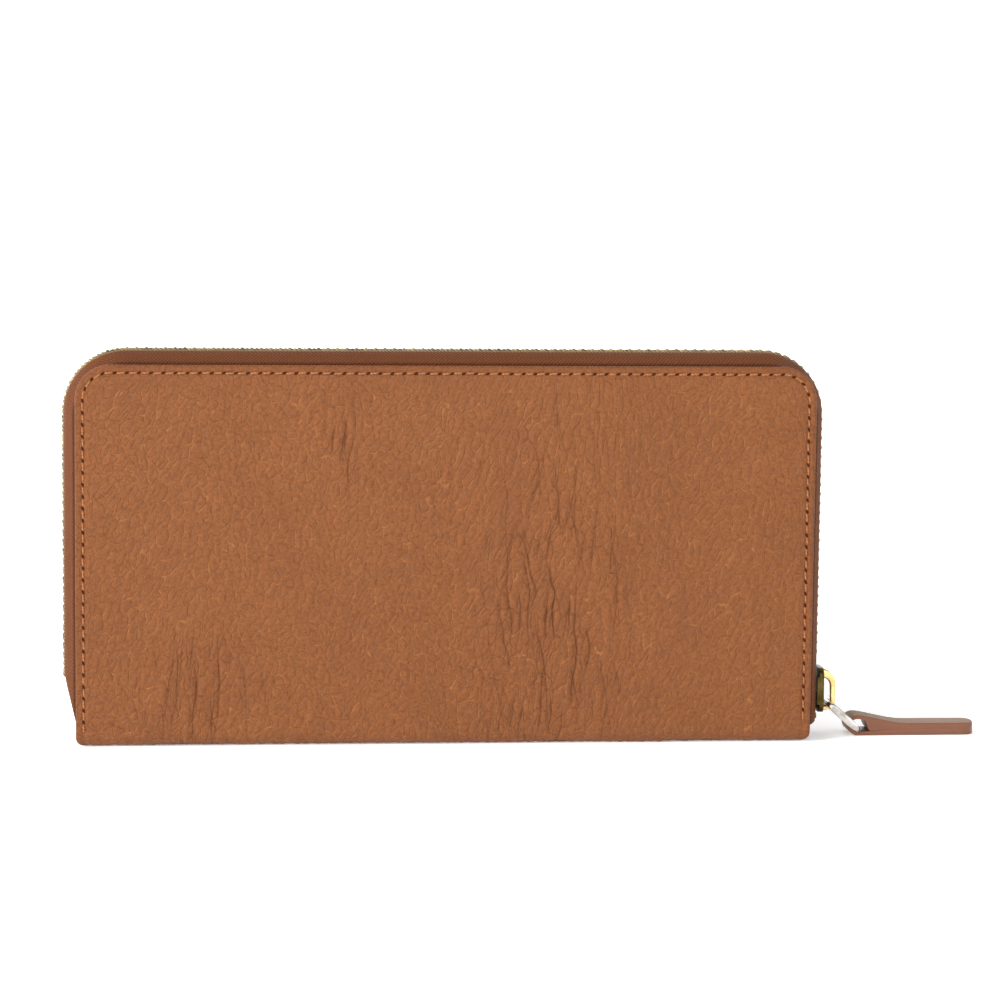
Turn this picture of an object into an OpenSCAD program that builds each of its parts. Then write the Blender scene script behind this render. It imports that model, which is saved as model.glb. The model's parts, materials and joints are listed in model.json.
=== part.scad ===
// Zip around wallet, standing on its spine.
// Millimetres. +X is the width, +Y runs from the front cover to the rear cover, +Z is up.
// The origin is the centre of the spine's underside.

/* [Wallet] */
// Width of a leather cover
panel_w = 190; // [150:1:230]
// Height of the leather covers above the table
panel_h = 98; // [80:1:125]
// Thickness over the two leather covers
wallet_t = 25; // [20:0.5:34]
// Corner radius of the leather covers
cover_r = 9; // [5:0.5:12]
// Outer radius of the fold between the spine and a cover
fold_r = 3.5; // [2.5:0.1:5]

/* [Layers] */
// Thickness of the leather
leather_t = 1.2; // [0.8:0.1:1.8]
// Thickness of the stiffening boards and of the zip tape, which share one layer
core_t = 0.6; // [0.4:0.1:1]
// Thickness of the lining
lining_t = 0.4; // [0.3:0.1:0.8]
// Thickness of one card pocket strip
card_t = 0.5; // [0.3:0.1:0.7]
// Gap between the edges of two pieces in one layer
edge_gap = 0.5; // [0.2:0.1:1]
// Gap between the top of the fold and the lower edges of the boards and linings
fold_gap = 1; // [0.5:0.1:2]

/* [Cover stitching] */
// Distance of the stitch line from the edge of the leather
stitch_inset = 2; // [1.5:0.1:3]
// Distance from one stitch to the next
stitch_pitch = 3.05; // [2.5:0.05:4]
// Length of one visible stitch
stitch_len = 2.3; // [1.5:0.1:2.4]
// Thickness of the thread
thread_w = 0.8; // [0.5:0.1:1]
// Depth of the groove that the thread lies in
groove_d = 0.5; // [0.2:0.1:0.7]
// Side play of the thread in its groove
groove_play = 0.05; // [0.02:0.01:0.1]

/* [Main zip] */
// Corner radius of the line where the tape leaves the covers
zip_r = 13; // [10:0.5:18]
// Width of the tape sewn in under the leather
flange_w = 6; // [4:0.5:8]
// Height of the tape above the edge of the leather
tape_rise = 2.9; // [2.2:0.1:4]
// Half of the gap between the two tape edges
bead_gap = 0.9; // [0.7:0.1:1.3]
// Distance from one tooth to the next on one tape
tooth_pitch = 2.45; // [2.2:0.05:3.4]
// Thickness of a tooth along the tape
tooth_t = 0.95; // [0.7:0.05:1]
// Height of a tooth across the tape
tooth_h = 2; // [1.6:0.1:2.4]
// Width of a tooth's grip on the tape
tooth_grip = 1.5; // [1:0.1:2]
// How far a tooth reaches over the middle
tooth_reach = 0.8; // [0.5:0.1:0.8]
// Height at which the left tape end starts to turn inward
tail_top_z = 16.8; // [14:0.1:22]
// Lean of the left tape end
tail_lean = 13; // [5:1:20]
// Length of an end stop along the tape
stop_len = 1.8; // [1:0.1:2]

/* [Slider] */
// Length of the slider along the teeth
slider_l = 11.8; // [10:0.2:14]
// Width of the slider across the teeth
slider_w = 9.4; // [8:0.2:12]
// Thickness of the slider's two plates
slider_plate = 1.2; // [0.8:0.1:1.6]
// Clearance between the slider and the teeth
slider_clear = 0.2; // [0.1:0.05:0.4]
// Clearance between the slider's lips and the tape
lip_clear = 0.35; // [0.2:0.05:0.6]
// Thickness of the slider's lips across the teeth
lip_w = 0.8; // [0.5:0.1:1.2]
// Corner radius of the slider's plates
slider_r = 2.2; // [1:0.1:3]
// Height of the slider's lower end above the top of the fold
slider_lift = 2.7; // [2.7:0.1:8]
// Height of the arch on the slider's outer plate
crown_h = 3.8; // [3.6:0.1:5]
// Length of the arch along the teeth, no longer than the slider
crown_l = 11.2; // [9:0.1:12]
// Thickness of the arch's lower leg
crown_foot = 1.3; // [1:0.1:1.5]
// Thickness of the arch's upper leg
crown_head = 2.4; // [1:0.1:3]
// Thickness of the arch's outer band
crown_band = 1.4; // [1:0.1:1.5]
// Width of the arch across the teeth
crown_w = 2.2; // [1.6:0.1:3]
// Outer corner radius of the arch
crown_r = 2.8; // [2:0.1:3.4]
// Height of the arch's foot above the slider's lower end
crown_lift = 0.1; // [0:0.1:0.6]

/* [Pull] */
// Radius of the pull ring's cross bars
ring_wire = 0.7; // [0.5:0.05:0.8]
// Distance between the middles of the ring's two cross bars
ring_l = 10.1; // [9.6:0.1:14]
// Half of the height of the ring's side bars
ring_bar = 1; // [0.8:0.05:1.2]
// Thickness of the ring's side bars
ring_bar_t = 1.2; // [0.8:0.1:1.6]
// Clearance between the ring and the pieces it passes through
ring_clear = 0.15; // [0.08:0.01:0.3]
// Width of the pull strap
strap_w = 8; // [6:0.5:10]
// Thickness of the folded pull strap
strap_t = 3.2; // [2:0.1:4]
// Length of the pull strap from the ring's bar to its tip
strap_l = 31.5; // [24:0.5:45]
// Corner radius of the strap's tip
strap_r = 2.6; // [1:0.1:2.8]
// Thickness of the leather where the strap folds round the ring
loop_wall = 1; // [0.8:0.05:1.2]
// How much wider the strap's fold is than the ring's bar
loop_play = 1.1; // [0.4:0.1:1.4]
// Length over which the fold slopes down to the strap
loop_slope = 8; // [5:0.5:12]
// Side play of the strap in the ring
strap_play = 0.3; // [0.2:0.05:0.5]

/* [Card pockets] */
// Distance from the side edge of the leather to the card strips
card_inset = 7; // [7:0.5:12]
// Height of the card strips' lower edges
card_foot = 8; // [6:0.5:12]
// Distance from the top edge of the leather to the tallest strip
card_drop = 8; // [7:0.5:14]
// Height difference from one strip to the next
card_step = 12; // [8:0.5:13]
// Corner radius of the lower card strips
card_r = 1; // [0.5:0.1:2]

/* [Coin pocket] */
// Clear width between the coin pocket's walls
coin_gap = 6.2; // [5.9:0.1:8]
// Thickness of a coin pocket wall
coin_wall_t = 0.5; // [0.3:0.1:0.8]
// Distance from the side edge of the leather to the coin pocket
coin_inset = 12; // [11:0.5:20]
// Distance from the top edge of the leather to the coin pocket's walls
coin_drop = 20; // [19:0.5:30]
// Width of the binding that closes the coin pocket's ends
binding_w = 1.5; // [1:0.1:3]
// Thickness of the coin zip's tape
coin_tape_t = 0.4; // [0.3:0.05:0.5]
// Height of the coin zip's tape above the wall's edge
coin_tape_above = 3; // [2.4:0.1:4]
// Height of the coin zip's tape below the wall's edge
coin_tape_below = 6; // [3:0.5:10]
// Distance from one coin zip tooth to the next
coin_pitch = 2; // [1.6:0.1:2.6]
// Thickness of a coin zip tooth along the tape
coin_tooth_t = 1; // [0.6:0.1:1.2]
// Thickness of a coin zip tooth on each side of the tape
coin_tooth_side = 0.4; // [0.2:0.05:0.4]
// Height of a coin zip tooth
coin_tooth_h = 2; // [1.4:0.1:2.4]
// Length of the coin zip's slider
coin_slider_l = 8; // [7:0.5:10]
// Thickness of the coin slider's plates and lips
coin_plate = 0.8; // [0.5:0.1:1]
// Clearance between the coin slider and what it runs on
coin_clear = 0.3; // [0.2:0.05:0.4]
// Length of the coin zip's pull tab
tab_l = 11; // [8:0.5:11]
// Width of the coin zip's pull tab
tab_w = 4; // [3.8:0.2:5]
// Radius of the coin tab's hinge bar
tab_bar = 0.5; // [0.4:0.05:0.6]
// Thickness of the coin tab and of its two side arms
tab_t = 0.8; // [0.6:0.1:1]
// Clearance of the coin tab from the arch that it hangs on
tab_clear = 0.7; // [0.3:0.1:1]
// Play of the tab's hinge bar in the arch
tab_play = 0.05; // [0.02:0.01:0.1]
// Length of the arch on the coin slider
coin_arch_l = 5; // [4:0.5:6]
// Height of the arch on the coin slider
coin_arch_h = 2; // [1.6:0.1:2.4]
// Width of the arch on the coin slider
coin_arch_w = 1; // [0.6:0.1:1.4]

/* [Gussets] */
// Thickness of the gusset cloth
gusset_t = 0.4; // [0.3:0.05:0.6]
// How far a gusset's fold reaches in at the top, from the coin pocket's end
gusset_reach = 11; // [8:0.5:20]
// How far a gusset's fold reaches in at the bottom
gusset_foot_reach = 2; // [1:0.5:4]
// Height of the gussets' lower ends
gusset_foot = 6; // [5:0.5:10]

/* [Hidden] */
$fn = 64;

// Distances of the layers from the middle plane
half_t = wallet_t / 2;
leather_in = half_t - leather_t;
core_in = leather_in - core_t;
lining_in = core_in - lining_t;
card_rows = 4;
stack_in = lining_in - card_rows * card_t;
coin_out = coin_gap / 2 + coin_wall_t;

// Spine
spine_half = half_t - fold_r;
spine_inner_z = leather_t + core_t + lining_t;

// Main zip, measured outward from the edge of the leather
half_w = panel_w / 2;
tape_in = tape_rise - core_t;
bend_steps = 6;
slider_z = fold_r + slider_lift;
tape_end_z = slider_z - slider_clear - stop_len;
chain_left_z = tail_top_z + stop_len + tooth_t;
tooth_mid = tape_rise - core_t / 2;
tooth_in = tooth_mid - tooth_h / 2;
tooth_out = tooth_mid + tooth_h / 2;
chain_right_z = slider_z + slider_l / 2;
chain_w = half_w + tooth_mid;
chain_h = panel_h + tooth_mid;
chain_r = zip_r + tooth_mid;
chain_corner = chain_r * PI / 2;
chain_left = chain_h - chain_r - chain_left_z;
chain_right = chain_h - chain_r - chain_right_z;
chain_top = 2 * (chain_w - chain_r);
chain_len = chain_left + chain_corner + chain_top + chain_corner + chain_right;
tooth_count = floor(chain_len / tooth_pitch);

// Stitches: at a corner the ends of a straight stitch reach out of the curve
stitch_r = cover_r - stitch_inset + thread_w / 2;
stitch_bow = norm([stitch_r, stitch_len / 2]) - stitch_r;

// Slider
slot_in = tooth_in - slider_clear;
slot_out = tooth_out + slider_clear;
plate_top = slot_out + slider_plate;
crown_z = slider_z + crown_lift;

// Pull: the ring's upper bar lies in the arch, its lower bar in the strap's fold
ring_x = half_w + plate_top + crown_h - crown_band - ring_wire - ring_clear;
ring_z = crown_z + crown_foot + ring_wire + ring_clear;
loop_in = ring_wire + loop_play;
loop_out = loop_in + loop_wall;
strap_z = loop_wall + ring_clear + ring_wire;
ring_drop = asin((ring_z - strap_z) / ring_l);
strap_x = ring_x + ring_l * cos(ring_drop);
ring_gap = strap_w + 2 * strap_play;
loop_steps = 20;
loop_start = atan2(strap_t - loop_out, loop_slope)
    + acos(loop_out / norm([loop_slope, strap_t - loop_out]));

// Coin pocket
coin_half_w = half_w - coin_inset;
coin_top = panel_h - coin_drop;
coin_tape_in = coin_gap / 2 - coin_tape_t;
coin_tooth_in = coin_tape_in - coin_tooth_side;
coin_tooth_out = coin_gap / 2 + coin_tooth_side;
coin_tooth_top = coin_top + coin_tape_above + coin_tooth_side;
coin_run = coin_half_w - binding_w - coin_slider_l;
coin_teeth_n = floor(2 * coin_run / coin_pitch);
coin_slider_x = coin_half_w - binding_w - coin_slider_l / 2;
coin_plate_z = coin_tooth_top + coin_clear;
coin_bar_z = coin_plate_z + coin_plate + coin_arch_h / 2;

// A cover is drawn flat: x is the width, y the height, z the distance from the middle
module on_front() rotate([90, 0, 0]) children();
module on_rear() mirror([0, 1, 0]) rotate([90, 0, 0]) children();

module top_rounded(w, foot, top, r) {
    translate([-w / 2, foot]) square([w, top - r - foot]);
    translate([r - w / 2, foot]) square([w - 2 * r, top - foot]);
    for (side = [-1, 1]) translate([side * (w / 2 - r), top - r]) circle(r);
}

module layer(inset, foot, r, inner, outer) {
    translate([0, 0, inner])
        linear_extrude(outer - inner)
            top_rounded(panel_w - 2 * inset, foot, panel_h - inset, r);
}

// Places its children at distance s along a line that runs up the left side, across the
// top and down the right side: local x follows the line and local y points outward
module along(s, w, h, r, foot) {
    leg = h - r - foot;
    arc = r * PI / 2;
    top = 2 * (w - r);
    after_leg = s - leg;
    after_arc = after_leg - arc;
    after_top = after_arc - top;
    after_turn = after_top - arc;
    if (after_leg < 0)
        translate([-w, foot + s, 0]) rotate(90) children();
    else if (after_arc < 0)
        translate([r - w, h - r, 0]) rotate(90 - after_leg / arc * 90)
            translate([0, r, 0]) children();
    else if (after_top < 0)
        translate([r - w + after_arc, h, 0]) children();
    else if (after_turn < 0)
        translate([w - r, h - r, 0]) rotate(-after_top / arc * 90)
            translate([0, r, 0]) children();
    else
        translate([w, h - r - after_turn, 0]) rotate(-90) children();
}

module half_leather() {
    difference() {
        layer(0, fold_r, cover_r, leather_in, half_t);
        translate([0, 0, half_t - groove_d]) linear_extrude(groove_d + 1) difference() {
            stitch_ring(stitch_inset - thread_w / 2 - stitch_bow - groove_play);
            stitch_ring(stitch_inset + thread_w / 2 + groove_play);
        }
    }
}

module stitch_ring(inset) {
    top_rounded(panel_w - 2 * inset, 0, panel_h - inset, cover_r - inset);
}

module half_stitching() {
    r = cover_r - stitch_inset;
    w = half_w - stitch_inset;
    h = panel_h - stitch_inset;
    foot = fold_r + stitch_pitch / 2;
    len = 2 * (h - r - foot) + PI * r + 2 * (w - r);
    count = floor(len / stitch_pitch);
    for (i = [0:count])
        along(i * stitch_pitch, w, h, r, foot)
            translate([-stitch_len / 2, -thread_w / 2, half_t - groove_d])
                cube([stitch_len, thread_w, groove_d]);
}

module half_board() {
    inset = flange_w + edge_gap;
    layer(inset, fold_r + fold_gap, zip_r - inset, core_in, leather_in);
}

module half_lining() {
    layer(edge_gap, fold_r + fold_gap, zip_r - edge_gap, lining_in, core_in);
}

module half_cards(row) {
    outer = lining_in - (row - 1) * card_t;
    top = panel_h - card_drop - (row - 1) * card_step;
    w = panel_w - 2 * card_inset;
    corner = row == 1 ? zip_r - card_inset : card_r;
    translate([0, 0, outer - card_t])
        linear_extrude(card_t)
            top_rounded(w, card_foot, top, corner);
}

// Section of one tape: x is outward from the cover's edge, y the distance from the middle.
// The tape lies flat under the leather, then turns over to run across to the teeth
function bend(r) = [
    for (a = [90:-90 / bend_steps:0]) [r * cos(a), leather_in - tape_rise + r * sin(a)]
];

module tape_section() {
    outer = bend(tape_rise);
    inner = bend(tape_in);
    polygon(concat(
        [[-flange_w, leather_in]], outer, [[tape_rise, bead_gap], [tape_in, bead_gap]],
        [for (i = [bend_steps:-1:0]) inner[i]], [[-flange_w, core_in]]
    ));
}

module tape_side(foot) {
    translate([half_w, panel_h - zip_r, 0])
        rotate([90, 0, 0]) linear_extrude(panel_h - zip_r - foot) tape_section();
    translate([half_w - zip_r, panel_h - zip_r, 0])
        rotate_extrude(angle = 90) translate([zip_r, 0]) tape_section();
}

// The left end is cut back on a slant, where the tape turns in between the covers
module half_tape() {
    tape_side(tape_end_z);
    mirror([1, 0, 0]) difference() {
        tape_side(tape_end_z);
        translate([half_w + tape_rise, tail_top_z, 0]) rotate(-tail_lean)
            translate([0, -panel_h, -1]) cube([panel_h, panel_h, half_t]);
    }
    translate([zip_r - half_w, panel_h, 0])
        rotate([90, 0, 90]) linear_extrude(panel_w - 2 * zip_r) tape_section();
}

// Section of a tooth or stop that grips the tape's edge and ends at the given distance
module grip_section(inner_end) {
    grip_end = bead_gap + tooth_grip;
    polygon([
        [-tooth_h / 2, inner_end], [tooth_h / 2, inner_end],
        [tooth_h / 2, grip_end], [core_t / 2, grip_end],
        [core_t / 2, bead_gap], [-core_t / 2, bead_gap],
        [-core_t / 2, grip_end], [-tooth_h / 2, grip_end]
    ]);
}

module grip(inner_end, thick) {
    translate([-thick / 2, 0, 0])
        rotate([90, 0, 90]) linear_extrude(thick) grip_section(inner_end);
}

module half_teeth(offset) {
    for (i = [0:tooth_count - 1])
        along((i + offset) * tooth_pitch, chain_w, chain_h, chain_r, chain_left_z)
            grip(-tooth_reach, tooth_t);
}

module half_stops() {
    left_z = tail_top_z + stop_len / 2;
    right_z = slider_z - slider_clear - stop_len / 2;
    translate([-chain_w, left_z, 0]) rotate(90) grip(bead_gap / 2, stop_len);
    translate([chain_w, right_z, 0]) rotate(-90) grip(bead_gap / 2, stop_len);
}

// Quarter round of leather about a cover's hinge line
module fold() {
    translate([-half_w, -spine_half, fold_r])
        rotate([0, 90, 0]) rotate(-90) rotate_extrude(angle = 90)
            translate([fold_r - leather_t, 0]) square([leather_t, panel_w]);
}

module slab(half_x, half_y, z, t) {
    translate([-half_x, -half_y, z]) cube([2 * half_x, 2 * half_y, t]);
}

// A gusset is a V of cloth between a cover's cards and the coin pocket's end. Its fold
// leans in towards the top. Drawn for the right end in the cover's flat frame
module gusset() {
    outer = stack_in - gusset_t / 2;
    inner = coin_out + gusset_t / 2;
    mid = (outer + inner) / 2;
    x_outer = half_w - card_inset - gusset_t;
    x_inner = coin_half_w - gusset_t;
    for (edge = [[x_outer, outer], [x_inner, inner]]) hull() {
        gusset_post(edge.x, gusset_foot, edge.y);
        gusset_post(edge.x, coin_top, edge.y);
        gusset_post(coin_half_w - gusset_foot_reach, gusset_foot, mid);
        gusset_post(coin_half_w - gusset_reach, coin_top, mid);
    }
}

module gusset_post(x, y, v) {
    translate([x - gusset_t / 2, y - gusset_t / 2, v - gusset_t / 2]) cube(gusset_t);
}

module coin_wall() {
    translate([-coin_half_w, coin_gap / 2, spine_inner_z])
        cube([2 * coin_half_w, coin_wall_t, coin_top - spine_inner_z]);
}

module coin_tape() {
    x = coin_half_w - binding_w;
    h = coin_tape_above + coin_tape_below;
    translate([-x, coin_tape_in, coin_top - coin_tape_below]) cube([2 * x, coin_tape_t, h]);
}

module coin_teeth(offset) {
    tape_top = coin_tape_above;
    foot = tape_top + coin_tooth_side - coin_tooth_h;
    for (i = [0:coin_teeth_n - 1])
        translate([(i + offset) * coin_pitch - coin_run, 0, coin_top])
            rotate([90, 0, 90]) linear_extrude(coin_tooth_t) polygon([
                [coin_tooth_in, foot], [coin_tape_in, foot], [coin_tape_in, tape_top],
                [coin_gap / 2, tape_top], [coin_gap / 2, foot], [coin_tooth_out, foot],
                [coin_tooth_out, tape_top + coin_tooth_side],
                [coin_tooth_in, tape_top + coin_tooth_side]
            ]);
}

module rounded_rect(w, h, r) {
    translate([r - w / 2, 0]) square([w - 2 * r, h]);
    translate([-w / 2, r]) square([w, h - 2 * r]);
    for (side = [-1, 1]) {
        translate([side * (w / 2 - r), r]) circle(r);
        translate([side * (w / 2 - r), h - r]) circle(r);
    }
}

// Extrudes a shape drawn in y and z along x, from one distance off the cover's edge
module outward(from, to) {
    translate([half_w + from, 0, slider_z])
        rotate([90, 0, 90]) linear_extrude(to - from) children();
}

module slider_body() {
    lip = slider_w / 2 - lip_w;
    lip_l = slider_l - 2 * slider_r;
    post = bead_gap - slider_clear;
    post_foot = slider_r / 4;
    post_top = slider_l / 2 - tooth_t;
    post_widest = (post_foot + post_top) / 3;
    color("goldenrod") {
        outward(slot_out, plate_top) rounded_rect(slider_w, slider_l, slider_r);
        outward(slot_in - slider_plate, slot_in) rounded_rect(slider_w, slider_l, slider_r);
        for (side = [-1, 1]) {
            outward(tape_rise + lip_clear, slot_out)
                translate([side * (lip + lip_w / 2) - lip_w / 2, slider_r])
                    square([lip_w, lip_l]);
            outward(slot_in, tape_in - lip_clear)
                translate([side * (lip + lip_w / 2) - lip_w / 2, slider_r])
                    square([lip_w, lip_l]);
        }
        outward(slot_in, slot_out)
            polygon([[0, post_foot], [post, post_widest], [0, post_top], [-post, post_widest]]);
    }
}

module slider_crown() {
    color("goldenrod")
        translate([half_w + plate_top, crown_w / 2, crown_z])
            rotate([90, 0, 0]) linear_extrude(crown_w) difference() {
                crown_outline(crown_h, crown_l, crown_r);
                translate([0, crown_foot]) crown_outline(
                    crown_h - crown_band, crown_l - crown_foot - crown_head, ring_wire + ring_clear
                );
            }
}

// D shape on the slider's plate: x is outward and y follows the teeth
module crown_outline(h, l, r) {
    intersection() {
        square([h, l]);
        union() {
            square([h - r, l]);
            translate([0, r]) square([h, l - 2 * r]);
            translate([h - r, r]) circle(r);
            translate([h - r, l - r]) circle(r);
        }
    }
}

// A link of two flat side bars and two round cross bars, hung at its slant
module pull_ring() {
    half = ring_gap / 2 + ring_bar_t;
    color("silver") translate([ring_x, 0, ring_z]) rotate([0, ring_drop, 0])
        rotate([90, 0, 0]) {
            for (x = [0, ring_l])
                translate([x, 0, -half]) cylinder(r = ring_wire, h = 2 * half);
            for (z = [-half, half - ring_bar_t])
                translate([0, 0, z]) linear_extrude(ring_bar_t) {
                    translate([0, -ring_bar]) square([ring_l, 2 * ring_bar]);
                    circle(ring_bar);
                    translate([ring_l, 0]) circle(ring_bar);
                }
        }
}

// Outside of the strap's fold, from where the slope meets it, round to the underside
function loop_point(share) =
    let (a = loop_start + share * (270 - loop_start))
    [loop_out * cos(a), loop_out + loop_out * sin(a)];

// A strap folded round the ring's lower bar, with its two layers glued together
module pull_strap() {
    color("sienna") difference() {
        translate([strap_x, strap_w / 2, 0]) intersection() {
            rotate([90, 0, 0]) linear_extrude(strap_w) polygon(concat(
                [for (i = [0:loop_steps]) loop_point(i / loop_steps)],
                [[strap_l, 0], [strap_l, strap_t], [loop_slope, strap_t]]
            ));
            translate([-loop_out, -strap_w, 0]) linear_extrude(2 * loop_out) {
                square([loop_out + strap_l - strap_r, strap_w]);
                translate([0, strap_r]) square([loop_out + strap_l, strap_w - 2 * strap_r]);
                for (y = [strap_r, strap_w - strap_r])
                    translate([loop_out + strap_l - strap_r, y]) circle(strap_r);
            }
        }
        translate([strap_x, strap_w, loop_out])
            rotate([90, 0, 0]) cylinder(r = loop_in, h = 2 * strap_w);
    }
}

module coin_slider_body() {
    lip_in = coin_tooth_out + coin_clear;
    plate_half = lip_in + coin_plate;
    foot_half = coin_tooth_in - coin_clear;
    lip_h = coin_tooth_h - coin_plate;
    x = coin_slider_x - coin_slider_l / 2;
    post_l = coin_slider_l / 4;
    post_x = coin_slider_x + coin_slider_l / 2 - 1.5 * post_l;
    color("goldenrod") {
        translate([x, -plate_half, coin_plate_z])
            cube([coin_slider_l, 2 * plate_half, coin_plate]);
        for (side = [-1, 1])
            translate([x, side * (lip_in + coin_plate / 2) - coin_plate / 2, coin_plate_z - lip_h])
                cube([coin_slider_l, coin_plate, lip_h]);
        translate([post_x, -foot_half / 2, coin_top])
            cube([post_l, foot_half, coin_plate_z - coin_top]);
        translate([x, -foot_half, coin_top]) cube([coin_slider_l, 2 * foot_half, coin_plate]);
        difference() {
            translate([
                coin_slider_x - coin_arch_l / 2, -coin_arch_w / 2, coin_plate_z + coin_plate
            ])
                cube([coin_arch_l, coin_arch_w, coin_arch_h]);
            translate([coin_slider_x, coin_arch_w, coin_bar_z])
                rotate([90, 0, 0]) cylinder(r = tab_bar + tab_play, h = 2 * coin_arch_w);
        }
    }
}

module coin_tab() {
    plate_from = coin_arch_l / 2 + tab_clear;
    color("goldenrod") translate([coin_slider_x, 0, coin_bar_z]) {
        translate([0, tab_w / 2, 0]) rotate([90, 0, 0]) cylinder(r = tab_bar, h = tab_w);
        for (side = [-1, 1])
            translate([-plate_from, side * (tab_w / 2 - tab_t / 2) - tab_t / 2, -tab_t / 2])
                cube([plate_from, tab_t, tab_t]);
        translate([-tab_l, -tab_w / 2, -tab_t / 2]) cube([tab_l - plate_from, tab_w, tab_t]);
    }
}

module spine_leather() {
    color("sienna") slab(half_w, spine_half, 0, leather_t);
}

module spine_board() {
    color("tan") slab(half_w - flange_w, spine_half - edge_gap, leather_t, core_t);
}

module spine_lining() {
    color("peru") slab(half_w - edge_gap, spine_half - edge_gap, leather_t + core_t, lining_t);
}

module front_fold() color("sienna") fold();
module rear_fold() color("sienna") mirror([0, 1, 0]) fold();

module front_leather() color("sienna") on_front() half_leather();
module front_board() color("tan") on_front() half_board();
module front_lining() color("peru") on_front() half_lining();
module front_tape() color("saddlebrown") on_front() half_tape();
module front_teeth() color("gold") on_front() half_teeth(0.25);
module front_stops() color("gold") on_front() half_stops();
module front_stitching() color("burlywood") on_front() half_stitching();
module front_cards(row) color("chocolate") on_front() half_cards(row);

module rear_leather() color("sienna") on_rear() half_leather();
module rear_board() color("tan") on_rear() half_board();
module rear_lining() color("peru") on_rear() half_lining();
module rear_tape() color("saddlebrown") on_rear() half_tape();
module rear_teeth() color("gold") on_rear() half_teeth(0.75);
module rear_stops() color("gold") on_rear() half_stops();
module rear_stitching() color("burlywood") on_rear() half_stitching();
module rear_cards(row) color("chocolate") on_rear() half_cards(row);

module gusset_front_right() color("peru") on_front() gusset();
module gusset_front_left() color("peru") mirror([1, 0, 0]) on_front() gusset();
module gusset_rear_right() color("peru") on_rear() gusset();
module gusset_rear_left() color("peru") mirror([1, 0, 0]) on_rear() gusset();

module coin_wall_rear() color("peru") coin_wall();
module coin_wall_front() color("peru") mirror([0, 1, 0]) coin_wall();

module coin_binding() {
    color("saddlebrown") {
        slab(coin_half_w, coin_gap / 2, spine_inner_z, coin_wall_t);
        for (side = [-1, 1])
            translate([side * (coin_half_w - binding_w / 2), 0, 0])
                slab(binding_w / 2, coin_gap / 2, spine_inner_z, coin_top - spine_inner_z);
    }
}

module coin_tape_rear() color("saddlebrown") coin_tape();
module coin_tape_front() color("saddlebrown") mirror([0, 1, 0]) coin_tape();
module coin_teeth_rear() color("gold") coin_teeth(0.5);
module coin_teeth_front() color("gold") mirror([0, 1, 0]) coin_teeth(0);

spine_leather();
spine_board();
spine_lining();
front_fold();
rear_fold();
front_leather();
front_board();
front_lining();
front_tape();
front_teeth();
front_stops();
front_stitching();
front_cards(1);  // front_cards_1
front_cards(2);  // front_cards_2
front_cards(3);  // front_cards_3
front_cards(4);  // front_cards_4
rear_leather();
rear_board();
rear_lining();
rear_tape();
rear_teeth();
rear_stops();
rear_stitching();
rear_cards(1);  // rear_cards_1
rear_cards(2);  // rear_cards_2
rear_cards(3);  // rear_cards_3
rear_cards(4);  // rear_cards_4
gusset_front_left();
gusset_front_right();
gusset_rear_left();
gusset_rear_right();
coin_wall_front();
coin_wall_rear();
coin_binding();
coin_tape_front();
coin_tape_rear();
coin_teeth_front();
coin_teeth_rear();
coin_slider_body();
coin_tab();
slider_body();
slider_crown();
pull_ring();
pull_strap();
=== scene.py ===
"""Zip around wallet: the looks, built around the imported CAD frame.

Lengths in the code are millimetres; new_piece() turns them into the frame's metres. A cover is
worked out flat: x is the width, z the height, and w the distance from the middle plane, so that
the front half lies at y = -w and the rear half at y = w.
"""

import json
import math

import bpy
import numpy as np
from mathutils import Matrix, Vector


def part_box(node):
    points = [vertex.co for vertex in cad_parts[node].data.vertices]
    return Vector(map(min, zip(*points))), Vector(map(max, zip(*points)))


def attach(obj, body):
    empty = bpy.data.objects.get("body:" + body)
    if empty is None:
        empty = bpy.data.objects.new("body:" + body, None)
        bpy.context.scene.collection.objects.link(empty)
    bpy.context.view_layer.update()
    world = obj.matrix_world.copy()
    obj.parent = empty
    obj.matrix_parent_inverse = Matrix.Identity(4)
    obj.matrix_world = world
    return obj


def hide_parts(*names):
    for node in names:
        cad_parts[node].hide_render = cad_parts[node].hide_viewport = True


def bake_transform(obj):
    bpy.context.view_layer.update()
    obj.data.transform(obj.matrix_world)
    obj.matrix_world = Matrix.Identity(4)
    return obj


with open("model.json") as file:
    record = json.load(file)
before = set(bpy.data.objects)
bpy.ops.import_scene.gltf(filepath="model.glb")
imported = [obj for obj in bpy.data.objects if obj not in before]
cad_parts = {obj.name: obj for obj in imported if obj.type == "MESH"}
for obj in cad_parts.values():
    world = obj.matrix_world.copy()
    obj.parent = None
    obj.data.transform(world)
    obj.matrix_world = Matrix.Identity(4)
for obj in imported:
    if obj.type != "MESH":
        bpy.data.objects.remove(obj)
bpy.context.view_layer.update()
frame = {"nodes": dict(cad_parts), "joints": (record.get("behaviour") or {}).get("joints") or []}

MM = 0.001
SIDES = {"front": -1, "rear": 1}


def node_box(name):
    """Lowest and highest corner of a CAD node, in millimetres."""
    low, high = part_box(name)
    return np.array(low) / MM, np.array(high) / MM


def depth_range(name):
    """Nearest and furthest distance of a CAD node from the middle plane."""
    low, high = node_box(name)
    return sorted([abs(low[1]), abs(high[1])])


def joint_place(name):
    """A joint's position, in millimetres."""
    found = next(j for j in frame["joints"] if j["name"] == name)
    return np.array(found["pos_m"]) / MM


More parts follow.
